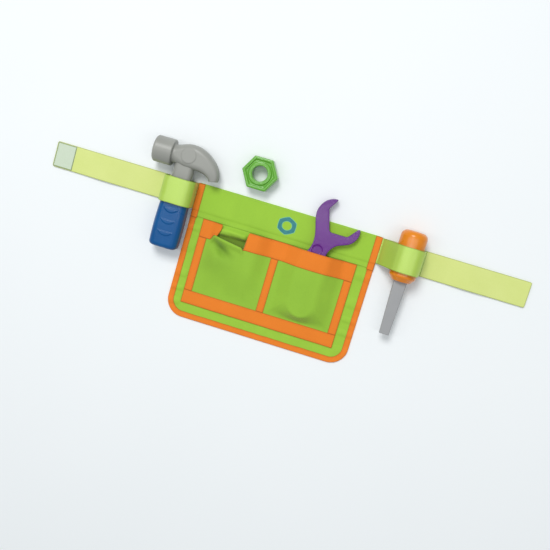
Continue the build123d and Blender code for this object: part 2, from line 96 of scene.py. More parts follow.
for lamp_name, place, wide, tall, power in (
    ("window_lamp", (-0.7, 1.6, 3.0), 1.2, 1.2, 64.0),
    ("left_strip_lamp", (-0.60, -0.05, 1.45), 0.07, 1.3, 2.5),
    ("right_strip_lamp", (0.44, -0.05, 1.45), 0.12, 1.3, 2.5),
):
    glow = bpy.data.lights.new(lamp_name, "AREA")
    glow.shape = "RECTANGLE"
    glow.size = wide
    glow.size_y = tall
    glow.energy = power
    lamp = bpy.data.objects.new(lamp_name, glow)
    bpy.context.scene.collection.objects.link(lamp)
    lamp.location = place
    lamp.rotation_euler = (Vector((0, -0.03, 0)) - Vector(place)).to_track_quat("-Z", "Y").to_euler()
    lamp.visible_camera = False

lens = bpy.data.cameras.new("camera")
lens.lens = 48.87
lens.sensor_width = 36
camera = bpy.data.objects.new("camera", lens)
bpy.context.scene.collection.objects.link(camera)
camera.location = (0.076, 0.0604, 1.094)
camera.rotation_euler = [math.radians(turn) for turn in (-5.896, 5.619, 16.48)]
bpy.context.scene.camera = camera

# Apron panel
# Two layers of bright green woven polyester, cut with two rounded lower corners. It lies nearly flat,
# with soft waves in the bare strips beside its binding and a lift behind the open pocket mouth.
MM = 0.001
APRON_HALF = 140.5
APRON_BOTTOM = -181.0
CORNER = 27.0
PANEL_TOP_Z = 1.4
# Painted shade darkens cloth towards its cut edges and in marked hollows; beyond this reach the cloth is
# unshaded.
UNSHADED = 1.3  # this far from its edge, in millimetres, cloth has its full colour


def ease(share):
    share = min(1.0, max(0.0, share))
    return share * share * (3 - 2 * share)


def ripple(x, y, wavelength, seed=0.0):
    """Smooth bumps from -1 to 1, the same on each run."""
    return noise.noise(Vector((x / wavelength, y / wavelength, seed)))


def surface_group(name, inputs):
    """A new node group that takes these inputs and gives a colour, a roughness and a normal."""
    group = bpy.data.node_groups.new(name, "ShaderNodeTree")
    for label, kind, value in inputs:
        socket = group.interface.new_socket(label, in_out="INPUT", socket_type="NodeSocket" + kind)
        if value is not None:
            socket.default_value = value
    for label, kind in (("Colour", "Color"), ("Roughness", "Float"), ("Normal", "Vector")):
        group.interface.new_socket(label, in_out="OUTPUT", socket_type="NodeSocket" + kind)
    return group, group.nodes.new("NodeGroupInput"), group.nodes.new("NodeGroupOutput")


def thread_group():
    """Over-and-under threads: their colour, with painted shade in the gaps between them and slow changes of
    tone, and their relief.
    """
    group, entry, leave = surface_group("woven_threads", (
        ("Place", "Vector", None),
        ("Colour", "Color", (0.5, 0.5, 0.5, 1)),
        ("Shade", "Color", (0.2, 0.2, 0.2, 1)),
        ("Pitch across", "Float", 0.0006),
        ("Pitch along", "Float", 0.0006),
        ("Relief", "Float", 0.0001),
        ("Roughness", "Float", 0.7),
    ))

    def work(kind, first, second=None):
        node = group.nodes.new("ShaderNodeMath")
        node.operation = kind
        for position, value in enumerate((first, second)):
            if isinstance(value, (int, float)):
                node.inputs[position].default_value = value
            elif value is not None:
                group.links.new(value, node.inputs[position])
        return node.outputs[0]

    parts = group.nodes.new("ShaderNodeSeparateXYZ")
    group.links.new(entry.outputs["Place"], parts.inputs[0])
    across, along = (
        work("SINE", work("MULTIPLY", work("DIVIDE", parts.outputs[axis], entry.outputs[pitch]), math.pi))
        for axis, pitch in enumerate(("Pitch across", "Pitch along"))
    )
    bulge_across, bulge_along = work("ABSOLUTE", across), work("ABSOLUTE", along)
    warp = work("MULTIPLY", bulge_across, work("POWER", bulge_along, 0.35))
    weft = work("MULTIPLY", work("POWER", bulge_across, 0.35), bulge_along)
    over = work("GREATER_THAN", work("MULTIPLY", across, along), 0.0)
    under = work("SUBTRACT", 1.0, over)
    height = work("ADD", work("MULTIPLY", warp, over), work("MULTIPLY", weft, under))
    cloud = group.nodes.new("ShaderNodeTexNoise")
    cloud.inputs["Scale"].default_value = 22.0
    cloud.inputs["Detail"].default_value = 5.0
    group.links.new(entry.outputs["Place"], cloud.inputs["Vector"])
    slub = group.nodes.new("ShaderNodeTexNoise")
    slub.inputs["Scale"].default_value = 420.0
    slub.inputs["Detail"].default_value = 2.0
    group.links.new(entry.outputs["Place"], slub.inputs["Vector"])
    slow, fine = work("MULTIPLY", cloud.outputs["Fac"], 0.75), work("MULTIPLY", slub.outputs["Fac"], 0.35)
    drift = work("ADD", slow, fine)
    # Painted shade: the low gaps between threads are darker; the drift is the cloth's own uneven tone.
    lightness = work("ADD", work("MULTIPLY", height, 0.22), drift)
    tone = group.nodes.new("ShaderNodeMix")
    tone.data_type = "RGBA"
    tone.clamp_factor = True
    group.links.new(lightness, tone.inputs["Factor"])
    group.links.new(entry.outputs["Shade"], tone.inputs["A"])
    group.links.new(entry.outputs["Colour"], tone.inputs["B"])
    group.links.new(tone.outputs["Result"], leave.inputs["Colour"])
    unevenness = work("MULTIPLY", work("SUBTRACT", slub.outputs["Fac"], 0.5), 0.16)
    group.links.new(work("ADD", entry.outputs["Roughness"], unevenness), leave.inputs["Roughness"])
    bump = group.nodes.new("ShaderNodeBump")
    bump.inputs["Strength"].default_value = 0.55
    group.links.new(entry.outputs["Relief"], bump.inputs["Distance"])
    group.links.new(work("ADD", height, work("MULTIPLY", slub.outputs["Fac"], 0.5)), bump.inputs["Height"])
    group.links.new(bump.outputs["Normal"], leave.inputs["Normal"])
    return group


woven_threads = thread_group()


def woven_finish(
    name, colour, shade, across=0.6, along=0.6, relief=0.1,
    roughness=0.75, sheen=0.25, edge=0.62, satin=0.0, gloss=0.0,
):
    """Woven cloth. Its threads' pitches and relief are in millimetres, and painted shade darkens its cut
    edges.
    """
    finish, nodes, links, shader = new_finish(name, roughness, 0.3)
    shader.inputs["Metallic"].default_value = satin
    shader.inputs["Coat Weight"].default_value = gloss
    shader.inputs["Coat Roughness"].default_value = 0.24
    shader.inputs["Sheen Weight"].default_value = sheen
    shader.inputs["Sheen Roughness"].default_value = 0.4
    uv = nodes.new("ShaderNodeUVMap")
    uv.uv_map = "cut_pattern"
    threads = nodes.new("ShaderNodeGroup")
    threads.node_tree = woven_threads
    threads.inputs["Colour"].default_value = straight(*colour)
    threads.inputs["Shade"].default_value = straight(*shade)
    threads.inputs["Pitch across"].default_value = across * MM
    threads.inputs["Pitch along"].default_value = along * MM
    threads.inputs["Relief"].default_value = relief * MM
    threads.inputs["Roughness"].default_value = roughness
    links.new(uv.outputs["UV"], threads.inputs["Place"])
    # Painted shade: the colour darkens towards the shade colour times edge near cut edges and in marked
    # hollows.
    selvedge = nodes.new("ShaderNodeAttribute")
    selvedge.attribute_name = "from_painted_shade"
    edge_ramp = nodes.new("ShaderNodeMapRange")
    edge_ramp.inputs["From Min"].default_value = 0.25
    edge_ramp.inputs["From Max"].default_value = UNSHADED
    edge_tone = nodes.new("ShaderNodeMix")
    edge_tone.data_type = "RGBA"
    edge_tone.inputs["A"].default_value = straight(*[channel * edge for channel in shade])
    links.new(selvedge.outputs["Fac"], edge_ramp.inputs["Value"])
    links.new(edge_ramp.outputs["Result"], edge_tone.inputs["Factor"])
    links.new(threads.outputs["Colour"], edge_tone.inputs["B"])
    links.new(edge_tone.outputs["Result"], shader.inputs["Base Color"])
    links.new(threads.outputs["Roughness"], shader.inputs["Roughness"])
    links.new(threads.outputs["Normal"], shader.inputs["Normal"])
    return finish


def cut_cloth(name, width, length, columns, rows, lay, thickness, finish):
    """A woven piece: a flat grid, laid point by point at lay(u, v) in millimetres, its wall grown inwards."""
    bpy.ops.object.select_all(action="DESELECT")
    bpy.ops.mesh.primitive_grid_add(x_subdivisions=columns, y_subdivisions=rows, size=1, calc_uvs=True)
    cloth = bpy.context.object
    cloth.name = name
    cloth.data.name = name
    cloth.data.uv_layers[0].name = "cut_pattern"
    # Each point's distance from the cut edge, along which painted shade darkens the cloth.
    from_painted_shade = cloth.data.attributes.new("from_painted_shade", "FLOAT", "POINT")
    for vertex, mark in zip(cloth.data.vertices, from_painted_shade.data):
        u, v = vertex.co.x + 0.5, vertex.co.y + 0.5
        mark.value = min(u * width, (1 - u) * width, v * length, (1 - v) * length)
        vertex.co = Vector(lay(u, v)) * MM
    for corner in cloth.data.uv_layers["cut_pattern"].data:
        corner.uv = (corner.uv[0] * width * MM, corner.uv[1] * length * MM)
    wall = cloth.modifiers.new("wall", "SOLIDIFY")
    wall.thickness = thickness * MM
    wall.offset = -1
    bpy.ops.object.modifier_apply(modifier=wall.name)
    bpy.ops.object.shade_smooth_by_angle(angle=math.radians(50))
    cloth.data.materials.append(finish)
    return cloth


def mark_painted_shade(cloth, distance):
    """Set afresh how far each point lies from the painted shade that darkens the cloth, from its place in
    millimetres.
    """
    for vertex, mark in zip(cloth.data.vertices, cloth.data.attributes["from_painted_shade"].data):
        mark.value = distance(*(vertex.co / MM))


def rounded_edge_point(u, v, half, bottom, top, corner):
    """A point of a rectangle with two rounded lower corners, from its square cut (u, v)."""
    x, y = (2 * u - 1) * half, bottom + v * (top - bottom)
    a, b = abs(x) - (half - corner), (bottom + corner) - y
    if a > 0 and b > 0:
        a, b = a / corner, b / corner
        x = math.copysign(half - corner + corner * a * math.sqrt(1 - b * b / 2), x)
        y = bottom + corner - corner * b * math.sqrt(1 - a * a / 2)
    return x, y


def panel_height(x, y):
    side_strip = ease((abs(x + 2) - 118) / 4) * ease((-36 - y) / 8)
    low_strip = ease((-158 - y) / 4)
    wave = 1.15 * math.sin(y / 4.6 + 1.7 * math.sin(y / 17.0 + (0.8 if x > 0 else 2.1)))
    low_wave = 0.8 * math.sin(x / 8.0 + 1.3 * math.sin(x / 27.0))
    lift = max(side_strip * max(0.0, wave), low_strip * max(0.0, low_wave)) * 1.2
    under_hem, foot = ease((-30 - y) / 7), ease((y + 47 - 0.05 * (x + 70)) / 6.5)
    behind_mouth = ease((x + 97) / 10) * ease((-44 - x) / 10) * under_hem * foot
    crease = abs(((x + 1.4 * y) / 19.0) % 2 - 1)
    return PANEL_TOP_Z + lift + behind_mouth * (5.6 + 2.4 * crease)


def lay_panel(u, v):
    x, y = rounded_edge_point(u, v, APRON_HALF - 1.2, APRON_BOTTOM + 1.2, -19.5, CORNER - 1.2)
    return x, y, panel_height(x, y)


apron_green = woven_finish("apron_green", (162, 207, 64), (140, 186, 54), edge=0.75)
apron_cloth = cut_cloth("apron_cloth", 278.6, 160.3, 200, 130, lay_panel, 1.3, apron_green)

def painted_mouth_shade(x, y, z):
    """Painted shade on the cloth inside the open pocket, deepest towards its lower right corner."""
    sides = ease((x + 98) / 6) * ease((-40 - x) / 6)
    inside = sides * ease((-36.5 + 0.04 * (x + 70) - y) / 3.5) * ease((y + 70) / 6)
    return UNSHADED - inside * (0.45 + 0.6 * ease((-42.5 - y + 0.12 * (x + 70)) / 5))


# Painted shade inside the open pocket mouth.
mark_painted_shade(apron_cloth, painted_mouth_shade)
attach(apron_cloth, "apron")
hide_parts("apron_panel")

# Apron binding
# Orange woven tape folded over the panel's sides and bottom and sewn through both its edges. It turns
# the rounded corners in one run and lies a little wavy along its inner edge.
BINDING = 9.0


def edge_run(share, half, bottom, top, corner):
    """A point on the apron's outline and the direction into the apron, share of the way along it."""
    side, arc, base = top - bottom - corner, math.pi / 2 * corner, 2 * (half - corner)
    s = share * (2 * side + 2 * arc + base)
    if s < side:
        return (-half, top - s), (1, 0), s
    if s < side + arc:
        turn = (s - side) / corner
        inward = (math.cos(turn), math.sin(turn))
        return (-half + corner - corner * inward[0], bottom + corner - corner * inward[1]), inward, s
    if s < side + arc + base:
        return (-half + corner + s - side - arc, bottom), (0, 1), s
    if s < side + 2 * arc + base:
        turn = (s - side - arc - base) / corner
        inward = (-math.sin(turn), math.cos(turn))
        return (half - corner - corner * inward[0], bottom + corner - corner * inward[1]), inward, s
    return (half, bottom + corner + s - side - 2 * arc - base), (-1, 0), s


binding_section = (
    (BINDING, 1.95), (7.6, 1.80), (4.0, 1.98), (1.0, 1.9), (0.15, 1.5),
    (0.0, 0.95), (0.2, 0.3), (1.2, 0.0), (5.0, 0.0), (BINDING, 0.0),
)


def along_section(section, share):
    spot = share * (len(section) - 1)
    index = min(int(spot), len(section) - 2)
    part = spot - index
    return [a + (b - a) * part for a, b in zip(section[index], section[index + 1])]


def lay_binding(u, v):
    (x, y), inward, run = edge_run(v, APRON_HALF, APRON_BOTTOM, -28.0, CORNER)
    reach, z = along_section(binding_section, u)
    if u < 0.35:
        reach += 0.25 * ripple(run, 0, 14.0, 4.0)
        z += 0.12 * ripple(run, 9, 9.0, 2.0)
    x, y = x + inward[0] * reach, y + inward[1] * reach
    front = panel_height(x, y) - PANEL_TOP_Z if u < 0.34 else 0.0
    return x, y, z + front


tape_orange = woven_finish(
    "tape_orange", (242, 134, 38), (222, 117, 28), across=0.5, along=0.9, relief=0.12, edge=0.82
)
apron_binding = cut_cloth("apron_binding_tape", 19.5, 570.0, 27, 380, lay_binding, 0.42, tape_orange)
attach(apron_binding, "apron")
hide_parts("apron_binding")

TWIST = 900.0  # how fine the twist of a sewing thread is
STITCH_RISE = ((0, -0.12), (0.2, 0.13), (0.8, 0.13), (1, -0.12))  # share of a stitch, millimetres up
sewing_thread = two_tones(
    "orange_thread", 0.55, 0.4, "ShaderNodeTexWave", TWIST, (206, 98, 26), (245, 148, 62)
)


def sew(name, seams, finish, body="apron", pitch=3.0, stitch=2.2, thread=0.2):
    """Rows of stitches. A seam is (length, place), and place(distance) gives the cloth's surface there."""
    line = bpy.data.curves.new(name, "CURVE")
    line.dimensions = "3D"
    line.bevel_depth = thread * MM
    line.bevel_resolution = 1
    line.use_fill_caps = True
    for length, place in seams:
        for number in range(int(length / pitch)):
            start = (number + 0.5) * pitch - stitch / 2
            spline = line.splines.new("POLY")
            spline.points.add(3)
            for point, (share, rise) in zip(spline.points, STITCH_RISE):
                x, y, z = place(start + share * stitch)
                point.co = (x * MM, y * MM, (z + rise) * MM, 1)
    thread_run = bpy.data.objects.new(name, line)
    bpy.context.scene.collection.objects.link(thread_run)
    bpy.ops.object.select_all(action="DESELECT")
    thread_run.select_set(True)
    bpy.context.view_layer.objects.active = thread_run
    bpy.ops.object.convert(target="MESH")
    thread_run = bpy.context.object
    thread_run.data.materials.append(finish)
    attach(thread_run, body)
    return thread_run


def on_binding(distance):
    (x, y), inward, _ = edge_run(distance / 562.0, APRON_HALF, APRON_BOTTOM, -28.0, CORNER)
    x, y = x + inward[0] * 7.5, y + inward[1] * 7.5
    return x, y, 1.86 + panel_height(x, y) - PANEL_TOP_Z


sew("binding_stitches", [(560.0, on_binding)], sewing_thread)

# Waistband
# One strip of the same green cloth folded over the belt's top edge, a tunnel for the webbing, with its
# front layer lapped down over the panel and topstitched along the fold and the lower edge.
BAND_HALF = 138.0
band_section = (
    (-29.0, 2.3), (-27.0, 2.35), (-24.0, 2.3), (-21.6, 2.4), (-20.3, 2.9), (-18.5, 3.2), (-10.0, 3.25),
    (0.0, 3.3), (10.0, 3.25), (17.8, 3.2), (19.4, 3.0), (20.0, 2.3), (20.1, 1.6), (19.9, 0.8), (19.2, 0.05),
    (10.0, 0.0), (-8.0, 0.0), (-19.0, 0.0),
)


def band_rise(x, y):
    under_wrench = ease((x - 20) / 10) * ease((124 - x) / 8)
    crease = 0.45 * max(0.0, ripple(x, y * 0.35, 17.0, 7.0)) * ease((21 - abs(y + 4)) / 8)
    return crease * (1 - under_wrench)


def lay_band(u, v):
    y, z = along_section(band_section, v)
    x = -BAND_HALF + 2 * BAND_HALF * u
    if v < 0.62:
        z += band_rise(x, y)
        y += 0.25 * ripple(x, 3, 21.0, 1.0) if v < 0.1 else 0
    return x, y, z


waistband_cloth = cut_cloth("waistband_cloth", 276.0, 94.0, 184, 68, lay_band, 0.85, apron_green)
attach(waistband_cloth, "apron")
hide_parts("waistband")

green_thread = two_tones(
    "green_thread", 0.55, 0.4, "ShaderNodeTexWave", TWIST, (118, 160, 48), (178, 216, 96)
)


def band_surface(x, y):
    for (y0, z0), (y1, z1) in zip(band_section, band_section[1:11]):
        if y0 <= y <= y1:
            return z0 + (z1 - z0) * (y - y0) / (y1 - y0) + band_rise(x, y)
    return band_section[0][1]


def along_band(y):
    """A seam along the waistband, drawn down into the cloth so that the wrench can slide over it."""
    return lambda distance: (-129 + distance, y, band_surface(-129 + distance, y) - 0.1)


sew("waistband_stitches", [(258.0, along_band(17.2)), (258.0, along_band(-26.6))], green_thread)

# Pocket fronts
# Two green fronts sewn to the panel at their sides and foot. The right one is drawn over the wrench's
# handle; the left one is slack, and half of its mouth has folded in and down, which dents the front.
POCKET_LEFT, POCKET_RIGHT, POCKET_LOW, MOUTH_Y = -120.0, 116.0, -158.5, -29.2
LEFT_HOLLOW, RIGHT_HOLLOW, HOLLOW_FLOOR = (-107.0, -8.5), (4.5, 103.0), -137.5
SEWN_Z, LEFT_RISE, RIGHT_RISE = 2.3, 8.8, 14.4
pocket_green = woven_finish("pocket_green", (154, 199, 62), (132, 177, 52), edge=0.75)
WRENCH_END = (54.25, -110.2, 14.7)  # the round end of the wrench's handle: its centre and radius
FOLD_Y, FOLD_ROLL, FOLD_LIFT = -61.5, 1.9, 3.2


def pulled(x):
    """How much of the pull on the slack mouth is felt at x."""
    return ease((x + 103) / 8) * ease((-46.0 - x) / 8)


def lip_y(x):
    """Where the folded mouth of the left pocket turns over."""
    return FOLD_Y + (12.0 - (x + 95) / 7.0) * pulled(x)


def front_rise(x, y):
    """How far a pocket front stands off the apron: slack on the left, over the wrench on the right."""
    if x < (LEFT_HOLLOW[1] + RIGHT_HOLLOW[0]) / 2:
        side = ease((x - LEFT_HOLLOW[0]) / 24) * ease((LEFT_HOLLOW[1] - x) / 26)
        rise = LEFT_RISE * side * ease((y - HOLLOW_FLOOR) / 62)
        rise -= 8.6 * math.exp(-(((x + 82) / 14) ** 2) - ((y + 66 + 0.4 * (x + 82)) / 7.5) ** 2)
        rise += 0.7 * ripple(x + y * 0.4, y, 42.0, 3.0) * side
        return max(0.0, rise)
    gap = max(0.0, math.hypot(x - WRENCH_END[0], min(0.0, y - WRENCH_END[1])) - WRENCH_END[2])
    edge = max(0.0, min(x - RIGHT_HOLLOW[0], RIGHT_HOLLOW[1] - x, y - HOLLOW_FLOOR))
    share = edge / (edge + gap) if edge > 0 else 0.0
    ramp = (share - 0.15) / 0.7
    if share < 0.3:
        ramp = share * share / 0.42
    elif share > 0.7:
        ramp = 1 - (1 - share) ** 2 / 0.42
    slack = 0.9 * ripple(x, y, 30.0, 5.0) * ease(edge / 12) * ease(gap / 12)
    inside = WRENCH_END[2] - math.hypot(x - WRENCH_END[0], min(0.0, y - WRENCH_END[1]))
    return RIGHT_RISE * ramp + slack + 0.8 * ease(inside / WRENCH_END[2])


def front_point(x, y):
    """The outer face of the pocket fronts at (x, y) of their flat pattern, with the folded mouth."""
    past = y - FOLD_Y
    if y < -102 or x > -40 or x < -112:
        return Vector((x, y, SEWN_Z + front_rise(x, y)))
    lip, felt = lip_y(x), ease((y + 102) / 40) if past < 0 else 1 - ease(past / 26)
    pull_y = y + (lip - FOLD_Y) * felt
    lift = FOLD_LIFT * pulled(x) * (ease((past + 8) / 8) if past < 0 else felt)
    laid = Vector((x, pull_y, SEWN_Z + front_rise(x, pull_y) + lift))
    if past < 0:
        return laid
    tucked = ease((x + 99 - 10 * ease((y + 58) / 26)) / 6) * ease((-46.5 - x) / 4.5)
    turn, down = min(past / FOLD_ROLL, math.pi), max(0.0, past - math.pi * FOLD_ROLL)
    crest = SEWN_Z + front_rise(x, lip) + FOLD_LIFT * pulled(x)
    drawn_back = 13.0 * ease(past / 32) * (1 - ease((x + 84) / 20))
    folded = Vector((
        x - drawn_back,
        lip + FOLD_ROLL * math.sin(turn) - 0.12 * down,
        max(2.5, crest - FOLD_ROLL * (1 - math.cos(turn)) - 0.28 * down),
    ))
    return laid.lerp(folded, tucked)


def over_front(x, y, height):
    """A point that stands height above the pocket front's outer face."""
    here = front_point(x, y)
    across = front_point(x + 0.4, y) - front_point(x - 0.4, y)
    along = front_point(x, y + 0.4) - front_point(x, y - 0.4)
    normal = across.cross(along)
    normal = normal.normalized() if normal.length > 1e-6 else Vector((0, 0, 1))
    return here + normal * height


def painted_shade_under_lip(x, y, z):
    """Painted shade in the hollow dented in under the folded lip, as dark as the painted shade inside the
    pocket, and fainter further down.
    """
    dent = math.exp(-(((x + 83) / 13) ** 2) - ((y + 63 + 0.45 * (x + 83)) / 7.0) ** 2)
    fold = math.exp(-(((x + 88) / 26) ** 2) - ((y + 88 - 0.25 * (x + 88)) / 15.0) ** 2)
    return UNSHADED - 0.75 * dent - 0.2 * fold


for name, left, right, columns in (
    ("left_pocket_cloth", POCKET_LEFT + 0.4, -2.2, 118),
    ("right_pocket_cloth", -1.8, POCKET_RIGHT - 0.4, 118),
):
    def lay_front(u, v):
        return front_point(left + u * (right - left), POCKET_LOW + 0.4 + v * (MOUTH_Y - POCKET_LOW - 0.8))

    pocket = cut_cloth(name, right - left, 128.5, columns, 129, lay_front, 0.8, pocket_green)
    if name == "left_pocket_cloth":
        # Painted shade under the folded lip of the left pocket.
        mark_painted_shade(pocket, painted_shade_under_lip)
    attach(pocket, "apron")
    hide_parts(name.replace("cloth", "front"))

# Pocket trims
# Orange tape laid flat over the pockets' edges in one frame: a wide band along both mouths, a band
# under both, and uprights at the sides and between them. Each is topstitched along both its edges.
TRIM_WALL = 0.7


def lay_trim(x0, x1, y0, y1, across_x):
    def lay(u, v):
        a, b = (u, v) if across_x else (v, 1 - u)
        x, y = x0 + a * (x1 - x0), y0 + b * (y1 - y0)
        edge = min(u, 1 - u) * (x1 - x0 if across_x else y1 - y0)
        end = min(v, 1 - v) * (y1 - y0 if across_x else x1 - x0)
        press = 0.22 * (1 - ease(min(edge, end) / 0.9))
        pinch = 0.2 * math.exp(-(((min(edge, end) - 1.9) / 0.7) ** 2))
        return over_front(x, y, TRIM_WALL + 0.12 - press - pinch + 0.10 * ripple(x, y, 12.0, 8.0))

    return lay


trims = (
    ("pocket_top_trim", POCKET_LEFT, POCKET_RIGHT, -56.2, MOUTH_Y, False),
    ("pocket_bottom_trim", POCKET_LEFT, POCKET_RIGHT, POCKET_LOW, -138.4, False),
    ("pocket_left_trim", POCKET_LEFT, -107.9, -138.4, -56.2, True),
    ("pocket_divider_trim", -7.6, 3.6, -138.4, -56.2, True),
    ("pocket_right_trim", 103.9, POCKET_RIGHT, -138.4, -56.2, True),
)
seams = []
for node, x0, x1, y0, y1, upright in trims:
    wide, long = (x1 - x0, y1 - y0) if upright else (y1 - y0, x1 - x0)
    lay = lay_trim(x0, x1, y0, y1, upright)
    trim = cut_cloth(node + "_tape", wide, long, int(wide * 1.3), int(long), lay, TRIM_WALL, tape_orange)
    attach(trim, "apron")
    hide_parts(node)

    def down_trim(x, y_low):
        return lambda distance: over_front(x, y_low + distance, TRIM_WALL + 0.06)

    def along_trim(x_low, y):
        return lambda distance: over_front(x_low + distance, y, TRIM_WALL + 0.06)

    if upright:
        seams += [(long - 2, down_trim(x0 + 1.9, y0 + 1)), (long - 2, down_trim(x1 - 1.9, y0 + 1))]
    else:
        seams += [(long - 3, along_trim(x0 + 1.5, y0 + 1.9)), (long - 3, along_trim(x0 + 1.5, y1 - 1.9))]
sew("pocket_trim_stitches", seams, sewing_thread)

# Side tapes of the waistband
# Short lengths of the orange tape sewn over the waistband's raw ends and the tool loops' feet. They
# step down off the webbing and end over the top of the binding.
for side in (-1, 1):
    def lay_side_tape(u, v):
        y = 19.7 - v * 50.9
        reach = 130.3 + 10.1 * (u if side > 0 else 1 - u)
        over_webbing = ease((y + 21.3) / 2.2)
        pressed = 0.18 * (1 - ease(min(u, 1 - u) / 0.12))
        z = 3.15 + 1.1 * over_webbing - pressed + 0.12 * ripple(y, reach, 9.0, side)
        z -= 1.6 * ease((y - 19.0) / 1.2)
        return side * reach, y, z

    side_tape = cut_cloth(
        ("left", "right")[side > 0] + "_side_tape", 10.1, 50.9, 12, 54,
        lambda u, v: lay_side_tape(u, 1 - v), 0.7, tape_orange,
    )
    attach(side_tape, "apron")
    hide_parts(("left", "right")[side > 0] + "_waistband_tape")

    def down_side(distance, inset=1.6):
        y = 18.0 - distance
        return side * (130.4 + inset), y, 3.1 + 1.1 * ease((y + 21.3) / 2.2)

    sew(
        ("left", "right")[side > 0] + "_side_stitches",
        [(46, down_side), (46, lambda distance: down_side(distance, 8.0))], sewing_thread,
    )

# Printed motif
# A plain hexagonal nut outline screen-printed in teal on the waistband, with a paler halo of ink. The
# ink film lies in the weave of the cloth under it.
MOTIF = (1.5, -4.0)
bpy.ops.object.select_all(action="DESELECT")
middle = (MOTIF[0] * MM, MOTIF[1] * MM, 0)
bpy.ops.mesh.primitive_circle_add(vertices=96, radius=15.5 * MM, fill_type="NOTHING", location=middle)
motif = bpy.context.object
motif.name = "waistband_print"
bpy.ops.object.transform_apply(location=True)
bpy.ops.object.mode_set(mode="EDIT")
bpy.ops.mesh.select_all(action="SELECT")
for ring in range(8):
    bpy.ops.mesh.extrude_edges_move()
    bpy.ops.transform.resize(value=(0.9, 0.9, 1), center_override=middle)
bpy.ops.object.mode_set(mode="OBJECT")
ink_edge = motif.data.attributes.new("ink_edge", "FLOAT", "POINT")
for vertex in motif.data.vertices:
    x, y = vertex.co.x / MM - MOTIF[0], vertex.co.y / MM - MOTIF[1]
    radius, turn = math.hypot(x, y), math.atan2(y, x)
    hexagon = math.cos(math.pi / 6) / math.cos((turn + math.pi / 6) % (math.pi / 3) - math.pi / 6)
    share = (radius - 6.67) / (15.5 - 6.67)
    radius = 6.9 + share * (15.3 * (0.25 + 0.75 * hexagon ** 0.9) - 6.9)
    x, y = MOTIF[0] + radius * math.cos(turn), MOTIF[1] + radius * 0.9 * math.sin(turn)
    vertex.co = Vector((x, y, band_surface(x, y) + 0.22)) * MM
    ink_edge.data[vertex.index].value = min(share, 1 - share) * 8.8
film = motif.modifiers.new("film", "SOLIDIFY")
film.thickness = 0.25 * MM
film.offset = -1
bpy.ops.object.modifier_apply(modifier=film.name)
bpy.ops.object.mode_set(mode="EDIT")
bpy.ops.mesh.select_all(action="SELECT")
bpy.ops.mesh.normals_make_consistent(inside=False)
bpy.ops.object.mode_set(mode="OBJECT")
teal_ink = two_tones("teal_ink", 0.5, 0.4, "ShaderNodeTexNoise", 260.0, (28, 108, 116), (56, 142, 144))
nodes, links = teal_ink.node_tree.nodes, teal_ink.node_tree.links
ink_colour = nodes["Principled BSDF"].inputs["Base Color"]
ink_reach = nodes.new("ShaderNodeAttribute")
ink_reach.attribute_name = "ink_edge"
halo_ramp = nodes.new("ShaderNodeMapRange")
halo_ramp.inputs["From Min"].default_value = 0.4
halo_ramp.inputs["From Max"].default_value = 1.3
halo_tone = nodes.new("ShaderNodeMix")
halo_tone.data_type = "RGBA"
halo_tone.inputs["A"].default_value = straight(120, 200, 150)
links.new(ink_reach.outputs["Fac"], halo_ramp.inputs["Value"])
links.new(halo_ramp.outputs["Result"], halo_tone.inputs["Factor"])
links.new(ink_colour.links[0].from_socket, halo_tone.inputs["B"])
links.new(halo_tone.outputs["Result"], ink_colour)
motif.data.materials.append(teal_ink)
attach(motif, "apron")
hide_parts("waistband_motif")

# Belt webbing
# One long green webbing strap runs through the waistband's tunnel and out at both sides. Each side is laid
# flat as two lengths that meet beyond its tool loop.
WEB_HALF, WEB_TOP_Z = 19.0, 2.3
BELT_HALF = 362.0
# The strap's pale yellow-green holds painted sheen: the webbing's own colour is a deeper lime green,
# lightened here for its satin shine.
web_green = woven_finish(
    "web_green", (222, 232, 146), (206, 220, 118),
    across=1.3, along=0.9, relief=0.22, roughness=0.5, sheen=0.35, edge=0.85,
)
left_fold, right_fold = ("left_strap_inner", "left_strap_outer"), ("right_strap_inner", "right_strap_outer")
belt_lengths = (
    ("left_belt_near", -238.0, -128.0, ("apron", "left_strap_inner"), -192.6, -201.0, ["centre_webbing"]),
    ("left_belt_far", -BELT_HALF, -238.0, left_fold, -273.5, -282.5, left_fold),
    ("right_belt_near", 128.0, 247.0, ("apron", "right_strap_inner"), 207.5, 216.0, []),
    ("right_belt_far", 247.0, BELT_HALF, right_fold, 281.0, 289.5, right_fold),
)
for name, x0, x1, (near, far), start, end, nodes_replaced in belt_lengths:
    def lay_belt(u, v):
        x, y = x0 + u * (x1 - x0), (2 * v - 1) * WEB_HALF
        free_end = min(abs(x - BELT_HALF), abs(x + BELT_HALF))
        if free_end < 2.0:
            y *= 1 - 0.09 * (1 - free_end / 2.0) ** 2
        selvedge = 0.16 * (1 - ease(min(v, 1 - v) / 0.045))
        out = ease((abs(x) - 218) / 20) * ease((329 - abs(x)) / 14)
        wave = out * (0.9 + 0.9 * math.sin(abs(x) / 13.5 + 0.012 * y))
        return x, y, WEB_TOP_Z - selvedge + wave

    belt = cut_cloth(name, x1 - x0, 38.0, int((x1 - x0) / 1.2), 32, lay_belt, 1.3, web_green)
    # Painted shade along the webbing's edges and ends.
    mark_painted_shade(belt, lambda x, y, z: min(WEB_HALF - abs(y), BELT_HALF - abs(x)))
    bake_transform(belt)
    for node in nodes_replaced:
        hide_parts(node)

# Tool loops
# Arches of the same webbing over each tool, sewn to the belt at both feet. The left one stands tightly
# over the hammer's grip; the right one leans up to the screwdriver and falls straight behind it.
loop_green = woven_finish(
    "loop_green", (184, 214, 92), (164, 200, 70),
    across=1.3, along=0.9, relief=0.11, roughness=0.36, sheen=0.2, edge=0.85, satin=0.15, gloss=0.6,
)


